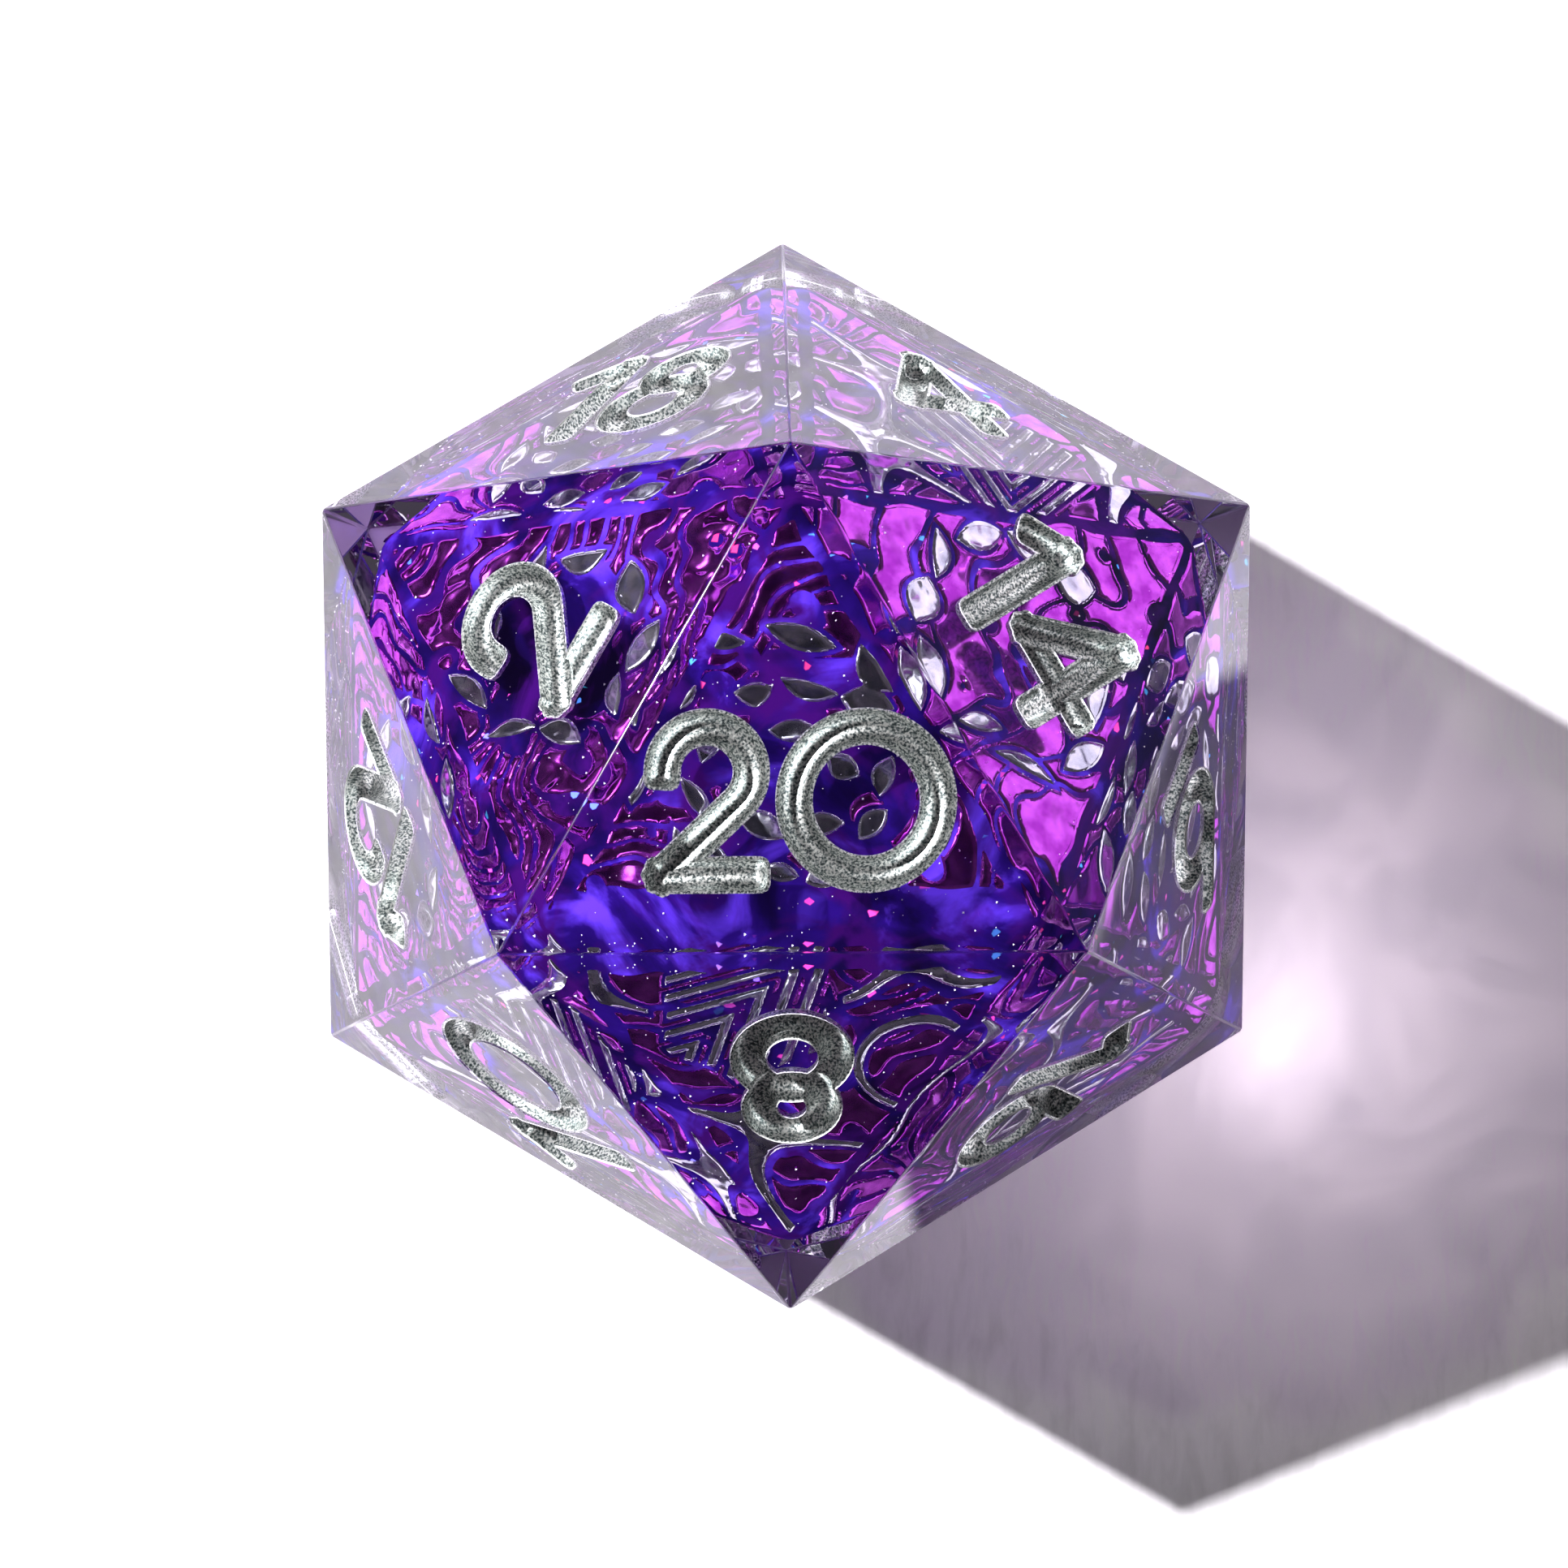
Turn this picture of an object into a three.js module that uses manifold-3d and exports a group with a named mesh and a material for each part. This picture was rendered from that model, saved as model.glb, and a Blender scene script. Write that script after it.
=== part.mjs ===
// Twenty-sided die: a clear resin body with engraved, inked numerals, cast in two pours
// around a smaller violet core whose faces carry patterned foil. Millimetres, +Z up.
// The die rests on face 1, whose centre is the origin. Face 20 is level on top, and +Y
// points to the top of its numeral.
import * as THREE from 'three';
import { mergeVertices } from 'three/addons/utils/BufferGeometryUtils.js';
import Module from 'manifold-3d';

// Driving dimensions
const FACE_TO_FACE = 20; // between opposite faces
const CORE_SCALE = 0.83; // core size over body size
const FOIL_THICKNESS = 0.1;
const FOIL_MARGIN = 0.45; // bare strip from the foil to each edge of its core face
const CLEARANCE = 0.04; // gap between neighbouring pieces
const CAP_HEIGHT = 4.12; // overall height of a numeral
const STROKE = 0.8; // width of an engraved stroke
const GROOVE_DEPTH = 0.6;
const INK_RECESS = 0.18; // ink surface below the face
const NUMERAL_AT = [0, 0.15]; // numeral centre from the face centre
const TWENTY_AT = [0.19, -0.4]; // the same for 20, which stands off centre
const DIGIT_GAP = 0.15; // between the two digits of a numeral
const BAR_DROP = 1.0; // underline centre below the bottom stroke's centre
const CORNER_REACH = 1.19; // stroke end's corner from its centre, in half widths

// The icosahedron. Its corners lie in four level rings of three.
const GOLDEN = (1 + Math.sqrt(5)) / 2;
const EDGE = (FACE_TO_FACE * Math.sqrt(3)) / GOLDEN ** 2;
const HALF = FACE_TO_FACE / 2;
const FACE_RADIUS = EDGE / Math.sqrt(3); // face centre to corner
const RAD = Math.PI / 180;

const ringCorner = (radius, height, degrees) =>
  new THREE.Vector3(radius * Math.cos(degrees * RAD), radius * Math.sin(degrees * RAD), height);
const upper = {
  A: ringCorner(FACE_RADIUS, HALF, 90),
  B: ringCorner(FACE_RADIUS, HALF, 210),
  E: ringCorner(FACE_RADIUS, HALF, 330),
  D: ringCorner(GOLDEN * FACE_RADIUS, HALF / GOLDEN ** 3, 30),
  C: ringCorner(GOLDEN * FACE_RADIUS, HALF / GOLDEN ** 3, 150),
  F: ringCorner(GOLDEN * FACE_RADIUS, HALF / GOLDEN ** 3, 270),
};
const opposite = (corner) => corner.clone().negate();
const corners = {
  ...upper,
  G: opposite(upper.F),
  I: opposite(upper.D),
  H: opposite(upper.C),
};

// Upper ten faces: number, the two corners under the numeral, the corner it points to.
// Each opposite face is the mirror image through the centre, and the two add up to 21.
const UPPER_FACES = [
  [20, 'B', 'E', 'A'],
  [2, 'A', 'B', 'C'],
  [14, 'A', 'E', 'D'],
  [8, 'B', 'E', 'F'],
  [18, 'A', 'C', 'G'],
  [4, 'A', 'D', 'G'],
  [12, 'B', 'C', 'I'],
  [10, 'B', 'F', 'I'],
  [16, 'E', 'F', 'H'],
  [6, 'E', 'D', 'H'],
];

// A face's own frame: x to the right of its numeral, y up it, z out of the die.
function faceFrame(base1, base2, top) {
  const centre = new THREE.Vector3().add(base1).add(base2).add(top).divideScalar(3);
  const out = centre.clone().normalize();
  const up = top.clone().sub(centre).normalize();
  const right = new THREE.Vector3().crossVectors(up, out);
  return new THREE.Matrix4().makeBasis(right, up, out).setPosition(centre);
}

const faces = [];
for (const [number, ...names] of UPPER_FACES) {
  const three = names.map((name) => corners[name]);
  faces.push({ number, frame: faceFrame(...three) });
  faces.push({ number: 21 - number, frame: faceFrame(...three.map(opposite)) });
}
const isUpper = (face) => face.frame.elements[14] > 0;

// Joining and cutting
const wasm = await Module();
wasm.setup();

function toSolid(geometry) {
  const bare = geometry.clone();
  bare.deleteAttribute('normal');
  bare.deleteAttribute('uv');
  const merged = mergeVertices(bare, 1e-5);
  return new wasm.Manifold(
    new wasm.Mesh({
      numProp: 3,
      vertProperties: new Float32Array(merged.attributes.position.array),
      triVerts: new Uint32Array(merged.index.array),
    }),
  );
}

function toGeometry(solid) {
  const mesh = solid.getMesh();
  const geometry = new THREE.BufferGeometry();
  geometry.setAttribute('position', new THREE.BufferAttribute(mesh.vertProperties, 3));
  geometry.setIndex(new THREE.BufferAttribute(mesh.triVerts, 1));
  const flat = geometry.toNonIndexed();
  flat.computeVertexNormals();
  return flat;
}

const joined = (solids) => solids.reduce((all, solid) => all.add(solid));

// An icosahedron with flat faces as far from the centre as asked, centred on the die.
function icosahedron(faceDistance) {
  const all = [...Object.values(upper), ...Object.values(upper).map(opposite)];
  const position = [];
  for (const a of all) {
    for (const b of all) {
      for (const c of all) {
        const neighbours = [a.distanceTo(b), b.distanceTo(c), c.distanceTo(a)];
        const isFace = neighbours.every((length) => Math.abs(length - EDGE) < 0.01);
        const firstCorner = all.indexOf(a) < all.indexOf(b) && all.indexOf(a) < all.indexOf(c);
        const outward = a.dot(new THREE.Vector3().crossVectors(b, c)) > 0;
        if (isFace && firstCorner && outward) {
          position.push(...a.toArray(), ...b.toArray(), ...c.toArray());
        }
      }
    }
  }
  const geometry = new THREE.BufferGeometry();
  geometry.setAttribute('position', new THREE.Float32BufferAttribute(position, 3));
  geometry.scale(...Array(3).fill(faceDistance / HALF));
  return geometry;
}

// Numeral strokes are centre lines in the face's plane, y = 0 at half the numeral's height.
const RADIUS = STROKE / 2;
const TOP = (CAP_HEIGHT - STROKE) / 2;

function arc(x, y, rx, ry, from, to) {
  const fullTurn = 7 + 4 * rx; // segments in a whole ring, more on a bigger one
  const steps = Math.round((fullTurn * Math.abs(to - from)) / 360);
  const points = [];
  for (let i = 0; i <= steps; i += 1) {
    const angle = (from + ((to - from) * i) / steps) * RAD;
    points.push([x + rx * Math.cos(angle), y + ry * Math.sin(angle)]);
  }
  return points;
}
const ring = (x, y, rx, ry) => ({ closed: true, points: arc(x, y, rx, ry, 0, 360).slice(0, -1) });
const line = (...points) => ({ closed: false, points });

const SIX_BOWL = 1.05;
const SIX_LEAN = 150; // where the stem leaves the bowl
const sixJoin = [SIX_BOWL * Math.cos(SIX_LEAN * RAD), SIX_BOWL * Math.sin(SIX_LEAN * RAD)];
const sixRise = 2 * TOP - SIX_BOWL - sixJoin[1];
const six = [
  ring(0, SIX_BOWL - TOP, SIX_BOWL, SIX_BOWL),
  line(
    [sixJoin[0], SIX_BOWL - TOP + sixJoin[1]],
    [sixJoin[0] + sixRise * Math.tan((180 - SIX_LEAN) * RAD), TOP],
  ),
];
const turned = (strokes) =>
  strokes.map(({ closed, points }) => ({ closed, points: points.map(([x, y]) => [-x, -y]) }));
const fiveBowl = arc(-0.05, -0.65, 1.05, 1.05, 135, -150);

const DIGITS = {
  0: [ring(0, 0, 1.62, TOP)],
  1: [line([0.3, -TOP], [0.3, TOP]), line([0.3, TOP], [-0.55, 1.05])],
  2: [
    line(...arc(0, TOP - 1, 1, 1, 180, -45), [-1, -TOP]),
    line([-1, -TOP], [1, -TOP]),
  ],
  3: [line(...arc(0, 0.9, 0.8, 0.8, 155, -90)), line(...arc(0, -0.8, 0.9, 0.9, 90, -155))],
  4: [
    line([0.45, TOP], [0.45, -TOP]),
    line([0.45, TOP], [-1.15, -0.6]),
    line([-1.15, -0.6], [1.15, -0.6]),
  ],
  5: [line([-0.75, TOP], [0.85, TOP]), line([-0.75, TOP], fiveBowl[0]), line(...fiveBowl)],
  6: six,
  7: [line([-1, TOP], [1, TOP]), line([1, TOP], [-0.35, -TOP])],
  8: [ring(0, TOP - 0.74, 0.74, 0.74), ring(0, 1 - TOP, 1, 1)],
  9: turned(six),
};
const UNDERLINE = [line([-0.95, -TOP - BAR_DROP], [0.95, -TOP - BAR_DROP])];

// A stroke's half section: distance from the centre line, and height from the face.
function section(halfWidth, bottom, top) {
  return [
    [halfWidth, top],
    [halfWidth, bottom * 0.5],
    [halfWidth * 0.55, bottom],
  ];
}
const CUT = section(RADIUS, -GROOVE_DEPTH, 0.5);
const INK = section(RADIUS - CLEARANCE, CLEARANCE - GROOVE_DEPTH, -INK_RECESS);

// Where the section is placed along a centre line: mitred at the corners, and turned about
// the first and last points of an open stroke to give it a square end with rounded corners.
function stations({ points, closed }) {
  const at = points.map(([x, y]) => new THREE.Vector2(x, y));
  const count = at.length;
  const heading = (from, to) => at[to].clone().sub(at[from]).normalize();
  const list = at.map((here, i) => {
    const before = closed || i > 0 ? heading((i + count - 1) % count, i) : heading(0, 1);
    const after = closed || i < count - 1 ? heading(i, (i + 1) % count) : before;
    const along = before.clone().add(after).normalize();
    const side = new THREE.Vector2(along.y, -along.x).divideScalar(along.dot(before));
    return { here, along, side, turn: 0, reach: 1 };
  });
  if (closed) {
    return [...list, list[0]];
  }
  const turns = [
    { turn: 90, reach: 1 },
    { turn: 45, reach: CORNER_REACH },
  ];
  return [
    ...turns.map(({ turn, reach }) => ({ ...list[0], turn: -turn, reach })),
    ...list,
    ...turns.reverse().map(({ turn, reach }) => ({ ...list.at(-1), turn, reach })),
  ];
}

// The section swept along a centre line.
function sweep(stroke, half) {
  const outline = [...half, ...[...half].reverse().map(([r, z]) => [-r, z])];
  const rings = stations(stroke).map(({ here, along, side, turn, reach }) =>
    outline.map(([r, z]) => {
      const point = here.clone().addScaledVector(side, reach * r * Math.cos(turn * RAD));
      point.addScaledVector(along, reach * Math.abs(r) * Math.sin(turn * RAD));
      return new THREE.Vector3(point.x, point.y, z);
    }),
  );
  const position = [];
  const addTriangle = (...three) => {
    const [a, b, c] = three;
    if (Math.min(a.distanceTo(b), b.distanceTo(c), c.distanceTo(a)) > 1e-4) {
      position.push(...three.flatMap((corner) => corner.toArray()));
    }
  };
  for (let i = 0; i < rings.length - 1; i += 1) {
    for (let j = 0; j < outline.length; j += 1) {
      const k = (j + 1) % outline.length;
      addTriangle(rings[i][j], rings[i + 1][k], rings[i + 1][j]);
      addTriangle(rings[i][j], rings[i][k], rings[i + 1][k]);
    }
  }
  const geometry = new THREE.BufferGeometry();
  geometry.setAttribute('position', new THREE.Float32BufferAttribute(position, 3));
  return geometry;
}

// One solid for a set of strokes, moved by dx and dy in the face's plane.
function strokesSolid(strokes, half, dx, dy) {
  return joined(strokes.map((stroke) => toSolid(sweep(stroke, half)))).translate(dx, dy, 0);
}

const extent = (strokes) => {
  const xs = strokes.flatMap(({ points }) => points.map(([x]) => x));
  return [Math.min(...xs) - RADIUS, Math.max(...xs) + RADIUS];
};

// The marks of one numeral: its digits from left to right and, under 6 and 9, a bar.
function numeralMarks(number) {
  const characters = [...String(number)];
  const widths = characters.map((c) => extent(DIGITS[c])[1] - extent(DIGITS[c])[0]);
  const total = widths.reduce((sum, width) => sum + width, DIGIT_GAP * (widths.length - 1));
  const barred = number === 6 || number === 9;
  const [x, y] = number === 20 ? TWENTY_AT : NUMERAL_AT;
  const dy = barred ? y + BAR_DROP / 2 : y;
  const placeNames = characters.length > 1 ? ['tens', 'units'] : ['units'];
  const marks = [];
  let left = x - total / 2;
  characters.forEach((character, i) => {
    const strokes = DIGITS[character];
    marks.push({ name: placeNames[i], strokes, dx: left - extent(strokes)[0], dy });
    left += widths[i] + DIGIT_GAP;
  });
  if (barred) {
    marks.push({ name: 'bar', strokes: UNDERLINE, dx: x, dy });
  }
  return marks;
}

// The foil on one core face: a triangle with rounded corners and leaf-shaped windows.
function foilGeometry() {
  const inset = (CORE_SCALE * FACE_RADIUS) / 2 - FOIL_MARGIN;
  const cornerRadius = 0.5;
  const reach = 2 * (inset - cornerRadius);
  const outline = new THREE.Shape();
  for (const turn of [90, 210, 330]) {
    const x = reach * Math.cos(turn * RAD);
    const y = reach * Math.sin(turn * RAD);
    outline.absarc(x, y, cornerRadius, (turn - 60) * RAD, (turn + 60) * RAD, false);
  }
  const leafLength = 2.3;
  const leafWidth = 1.0;
  for (const turn of [30, 150, 270]) {
    const leaf = new THREE.Path();
    const centre = new THREE.Vector2(0, 0.42 * inset).rotateAround(new THREE.Vector2(), turn * RAD);
    const tip = new THREE.Vector2(leafLength / 2, 0).rotateAround(new THREE.Vector2(), turn * RAD);
    const bulge = new THREE.Vector2(0, leafWidth).rotateAround(new THREE.Vector2(), turn * RAD);
    const start = centre.clone().sub(tip);
    const end = centre.clone().add(tip);
    leaf.moveTo(start.x, start.y);
    leaf.quadraticCurveTo(centre.x + bulge.x, centre.y + bulge.y, end.x, end.y);
    leaf.quadraticCurveTo(centre.x - bulge.x, centre.y - bulge.y, start.x, start.y);
    outline.holes.push(leaf);
  }
  return new THREE.ExtrudeGeometry(outline, {
    depth: FOIL_THICKNESS,
    bevelEnabled: false,
    curveSegments: 2,
  });
}

// Materials
const clearResin = { color: 0xe6e2ee, roughness: 0.03, metalness: 0, transparent: true, opacity: 0.35 };
const violetResin = { color: 0x35209a, roughness: 0.25, metalness: 0 };
const magentaFoil = { color: 0xb03bc8, roughness: 0.3, metalness: 1 };
const silverFoil = { color: 0xd8dadc, roughness: 0.25, metalness: 1 };
const silverInk = { color: 0xb9bcb8, roughness: 0.4, metalness: 1 };

const die = new THREE.Group();
die.name = 'die';
die.position.z = HALF;

function addPiece(name, geometry, look) {
  const piece = new THREE.Mesh(geometry, new THREE.MeshStandardMaterial(look));
  piece.name = name;
  die.add(piece);
  return piece;
}

// Core, and the foil just off its faces
const coreDistance = CORE_SCALE * HALF;
addPiece('core', icosahedron(coreDistance), violetResin);
const SILVER_FACES = [20, 8, 16, 1, 13, 5];
for (const { number, frame } of faces) {
  const look = SILVER_FACES.includes(number) ? silverFoil : magentaFoil;
  const foil = addPiece(`foil_face_${String(number).padStart(2, '0')}`, foilGeometry(), look);
  foil.quaternion.setFromRotationMatrix(frame);
  foil.position.setFromMatrixPosition(frame).setLength(coreDistance + CLEARANCE);
}

// Clear body: the outer shape less the core's room and the grooves, parted level at mid height
const outer = toSolid(icosahedron(HALF));
const room = toSolid(icosahedron(coreDistance + FOIL_THICKNESS + 2 * CLEARANCE));
const box = new THREE.BoxGeometry(4 * HALF, 4 * HALF, 2 * HALF);
const above = toSolid(box).translate(0, 0, HALF + CLEARANCE / 2);
const below = toSolid(box).translate(0, 0, -HALF - CLEARANCE / 2);
let upperPour = outer.intersect(above).subtract(room);
let lowerPour = outer.intersect(below).subtract(room);
for (const face of faces) {
  const name = `ink_face_${String(face.number).padStart(2, '0')}`;
  for (const mark of numeralMarks(face.number)) {
    const cutter = strokesSolid(mark.strokes, CUT, mark.dx, mark.dy).transform(face.frame.elements);
    if (isUpper(face)) {
      upperPour = upperPour.subtract(cutter);
    } else {
      lowerPour = lowerPour.subtract(cutter);
    }
    const ink = toGeometry(strokesSolid(mark.strokes, INK, mark.dx, mark.dy));
    const piece = addPiece(`${name}_${mark.name}`, ink, silverInk);
    piece.quaternion.setFromRotationMatrix(face.frame);
    piece.position.setFromMatrixPosition(face.frame);
  }
}
addPiece('resin_lower_pour', toGeometry(lowerPour), clearResin);
addPiece('resin_upper_pour', toGeometry(upperPour), clearResin);

export default die;
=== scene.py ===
# Twenty-sided resin die: a clear body with inked numerals round a violet core with foiled faces.
# Shapes are worked out in millimetres about the die's centre and placed in the frame in metres.
import math

import bmesh
import bpy
import numpy as np
from mathutils import Matrix, Vector


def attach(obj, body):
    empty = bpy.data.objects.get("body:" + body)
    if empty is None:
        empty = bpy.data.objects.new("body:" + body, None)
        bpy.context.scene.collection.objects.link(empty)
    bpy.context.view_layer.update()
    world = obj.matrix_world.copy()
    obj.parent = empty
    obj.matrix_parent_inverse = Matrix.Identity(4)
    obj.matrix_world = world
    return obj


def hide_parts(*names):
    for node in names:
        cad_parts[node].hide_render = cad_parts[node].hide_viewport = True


# Driving dimensions of the die, in millimetres
FACE_TO_FACE = 20.0
CORE_SCALE = 0.83  # the core's size over the die's
CAP_HEIGHT = 4.12
STROKE = 0.8
GROOVE_DEPTH = 0.6
NUMERAL_AT = (0, 0.15)  # the numeral's centre from the face's centre
TWENTY_AT = (0.19, -0.4)
DIGIT_GAP = 0.15
BAR_DROP = 1.0  # from a 6's or a 9's lowest centre line to its bar's
EDGE_ROUNDING = 0.05  # bevel on the clear body's edges
CORE_ROUNDING = 0.2

# Finer shape, in millimetres
CAP_POWER = 4  # how square a stroke's end is: 2 is round
ARC_PIECE = 0.13  # length of one straight piece of a numeral's arc
TURN_PIECE = 15  # degrees from point to point round a groove's bottom or a stroke's end
WELD = 1e-5  # a stroke's points that are closer than this become one
WALL_SHARE = 0.3  # share of a groove's depth that has upright walls, above the round bottom
CUTTER_TOP = 0.4  # how far a groove's cutter stands out of the face
BEVEL_AREA = 1.0  # in square millimetres: on the uncut body only the bevels have less
INK_COAT = 0.05  # ink above the groove's wall
INK_BITE = 0.02  # ink beyond the groove's wall, so that no air shows between them
INK_RECESS = 0.03  # the ink's edge below the face
FOIL_PITCH = 0.075  # spacing of the points that a foil is cut from
FOIL_HEIGHT = 0.045
FOIL_EDGE = 0.35  # share of its height that an island has at its edge
FOIL_RIM = 0.06  # width of an island's rounded rim
FOIL_SWELL = 0.007  # how uneven an island's top is
FOIL_ROOT = 0.02  # how far an island's walls go down into the core
FOIL_GAP = 0.11  # between silver and magenta
FOIL_MARGIN = 0.17
FOIL_BASE_MARGIN = 0.75  # at the side under the numeral, on the faces with a bare strip
DUST_COUNT = 3200
DUST_REACH = 0.98  # share of a core face that the dust covers
DUST_RISE = 0.12  # the specks lie up to this far above the core's faces
SPECK_MIN, SPECK_SPREAD = 0.007, 0.018  # smallest half size, and what the largest has on top
SHARP_BODY, SHARP_INK, SHARP_FOIL = 30, 35, 40  # degrees of turn past which an edge is sharp

# Faces by the pattern of their foil. The others are broad: wide bands and one ring of leaves.
LEAFY_FACES = (20, 6, 18, 1, 11, 17)
LINED_FACES = (8, 16, 4, 10, 7, 13, 15)
CRINKLED_FACES = (2, 12, 9, 19)
BARE_STRIP_FACES = (20, 8, 13, 1)

# Rings of leaves: radius, count, and the leaves' length and width, in millimetres
LEAFY_RINGS = ((1.2, 5, 1.2, 0.7), (2.3, 10, 1.2, 0.65), (3.4, 11, 1.5, 0.8))
CRINKLED_RING = (2.35, 9, 1.4, 0.8)
BROAD_RING = (2.75, 11, 1.6, 0.85)
LEAFY_PETALS = (1.8, 5, 1.1, 0.7)  # the petals are magenta
LINED_PETALS = (1.2, 5, 1.1, 0.7)

# Magenta bands: pitch, gap, and how far from the face's middle they start, in millimetres
LEAFY_BANDS = (0.9, 0.2, 2.8)
LINED_BANDS = (1.0, 0.25, 1.5)
CRINKLED_BANDS = (0.75, 0.2, 2.0)
BROAD_BANDS = (1.4, 0.2, 0.0)
BEND, BEND_LENGTH = 1.0, 4.2  # how far a band wanders, and the wavelength of that
RIPPLE, RIPPLE_LENGTH = 0.15, 1.3

# The lined faces' zigzag patch and the curves round it, in millimetres
ZIGZAG_ASIDE = 1.7  # the patch's middle from the face's
ZIGZAG_REACH = 2.1
ZIGZAG_PITCH, ZIGZAG_LINE = 1.15, 0.24
ZIGZAG_SLOPE = 1.9
CURVES_FROM = 2.2  # from the patch's middle
CURVES_LENGTH = 4.5  # wavelength

# Looks
RESIN_TINT = (0.69, 0.63, 0.77)
RESIN_SHADOW = (0.018, 0.024, 0.012)  # share of a lamp's light that gets out on the far side
RESIN_ENTRY = (0.94, 0.93, 0.96)  # and that gets in
CORE_GLOW = 1.6  # painted glow: light that comes out of the cloudy core wherever it is lit from, given off by the core itself
OPAL_SIZE = 0.2  # millimetres
OPAL_RARITY = 0.985  # share of the cells that show no opal
MAGENTA_TONES = ((0.40, 0.03, 0.52), (0.70, 0.11, 0.84))
SILVER_TONES = ((0.62, 0.66, 0.72), (0.97, 0.98, 1.0))
FOIL_ROUGHNESS = 0.1
SMOOTH_FOIL, CRINKLED_FOIL, SILVER_CRINKLE = 0.012, 0.11, 0.04  # bump heights in millimetres
FOIL_LEAN = (0.085, 0.06, 0.0)  # added to the foil's normals

# Paper, in metres
PAPER_NEAR, PAPER_FAR = -0.055, 1.0
PAPER_DROP = 0.00002  # the paper's top below the die's lowest face
UNDER_CENTRE = (-0.0006, 0.0003, 0)  # the painted shade on the paper right under the die
UNDER_CORE, UNDER_REACH = 0.008, 0.0101  # full up to the first, gone from the second on
UNDER_SHADE = 0.85
PAINTED_SHADE_COLOUR = (0.10, 0.045, 0.14)
GLOW_CENTRE = (0.0122, -0.0054, 0)  # a painted glow on the paper, standing in for the light that the die gathers in its shadow
GLOW_REACH = 0.016
GLOW_STRENGTH = 0.75
# a painted bright spot in that glow
HOT_SPOT = (0.012, -0.0071, 0)
HOT_SPOT_REACH = 0.0035
HOT_SPOT_STRENGTH = 0.4

# Light and camera, in metres and degrees
SUN_TOWARDS = Vector((-0.574, 0.357, 0.737))
SUN_STRENGTH = 9.2
SUN_SIZE = 2.0
REFLECTOR_AZIMUTH, REFLECTOR_ELEVATION = 30, 12
REFLECTOR_WIDTH, REFLECTOR_HEIGHT = 0.5, 0.28
REFLECTOR_RADIANCE = 0.15
REFLECTOR_DISTANCE = 0.7
ROOM_GREY = (0.09, 0.083, 0.09)
CAMERA_DISTANCE = 0.271
CAMERA_WIDTH = 0.03647  # width of the view at the die
CAMERA_LEAN = (-0.67, 1.40)  # from straight down, towards X and Y
CAMERA_ROLL = -0.3
CAMERA_AIM = (-0.00006, -0.00027)
SENSOR_WIDTH = 36  # millimetres

MM = 0.001
GOLDEN = (1 + math.sqrt(5)) / 2
EDGE = FACE_TO_FACE * math.sqrt(3) / GOLDEN**2
HALF = FACE_TO_FACE / 2
FACE_RADIUS = EDGE / math.sqrt(3)
HALF_STROKE = STROKE / 2
TOP = (CAP_HEIGHT - STROKE) / 2  # of a numeral's centre line, from its middle
TO_FRAME = Matrix.Translation((0, 0, HALF * MM)) @ Matrix.Scale(MM, 4)

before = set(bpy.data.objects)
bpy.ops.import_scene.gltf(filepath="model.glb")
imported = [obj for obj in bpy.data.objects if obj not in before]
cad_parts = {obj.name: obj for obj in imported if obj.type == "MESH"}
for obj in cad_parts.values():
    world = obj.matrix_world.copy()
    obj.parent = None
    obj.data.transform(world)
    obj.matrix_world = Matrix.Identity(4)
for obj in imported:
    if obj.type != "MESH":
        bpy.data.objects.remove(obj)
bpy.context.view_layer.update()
scene = bpy.context.scene


# ---------------------------------------------------------------- the icosahedron's faces
def ring_corner(radius, height, degrees):
    angle = math.radians(degrees)
    return Vector((radius * math.cos(angle), radius * math.sin(angle), height))


corners = {
    "A": ring_corner(FACE_RADIUS, HALF, 90),
    "B": ring_corner(FACE_RADIUS, HALF, 210),
    "E": ring_corner(FACE_RADIUS, HALF, 330),
    "D": ring_corner(GOLDEN * FACE_RADIUS, HALF / GOLDEN**3, 30),
    "C": ring_corner(GOLDEN * FACE_RADIUS, HALF / GOLDEN**3, 150),
    "F": ring_corner(GOLDEN * FACE_RADIUS, HALF / GOLDEN**3, 270),
}
all_corners = list(corners.values()) + [-corner for corner in corners.values()]
corners["G"] = -corners["F"]
corners["I"] = -corners["D"]
corners["H"] = -corners["C"]

# Number, the two corners under the numeral, and the corner that it points to
UPPER_FACES = (
    (20, "BEA"),
    (2, "ABC"),
    (14, "AED"),
    (8, "BEF"),
    (18, "ACG"),
    (4, "ADG"),
    (12, "BCI"),
    (10, "BFI"),
    (16, "EFH"),
    (6, "EDH"),
)


def face_frame(three):
    """x to the right of the face's numeral, y up it and z out of the die."""
    centre = (three[0] + three[1] + three[2]) / 3
    out = centre.normalized()
    up = (three[2] - centre).normalized()
    right = up.cross(out)
    return Matrix.Translation(centre) @ Matrix((right, up, out)).transposed().to_4x4()


faces = {}
for number, names in UPPER_FACES:
    three = [corners[name] for name in names]
    faces[number] = face_frame(three)
    faces[21 - number] = face_frame([-corner for corner in three])


# ---------------------------------------------------------------- mesh helpers
def new_object(name, data):
    thing = bpy.data.objects.new(name, data)
    scene.collection.objects.link(thing)
    return thing


def mesh_object(name, points, polygons):
    mesh = bpy.data.meshes.new(name)
    mesh.from_pydata([tuple(p) for p in points], [], [tuple(p) for p in polygons])
    mesh.update()
    return new_object(name, mesh)


def solid_object(name, shape):
    """Makes a closed bmesh into an object and frees it."""
    bmesh.ops.recalc_face_normals(shape, faces=shape.faces)
    mesh = bpy.data.meshes.new(name)
    shape.to_mesh(mesh)
    shape.free()
    return new_object(name, mesh)


def smooth(piece, degrees):
    piece.data.shade_smooth()
    piece.data.set_sharp_from_angle(angle=math.radians(degrees))


def discard(*pieces):
    for piece in pieces:
        bpy.data.objects.remove(piece)


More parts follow.
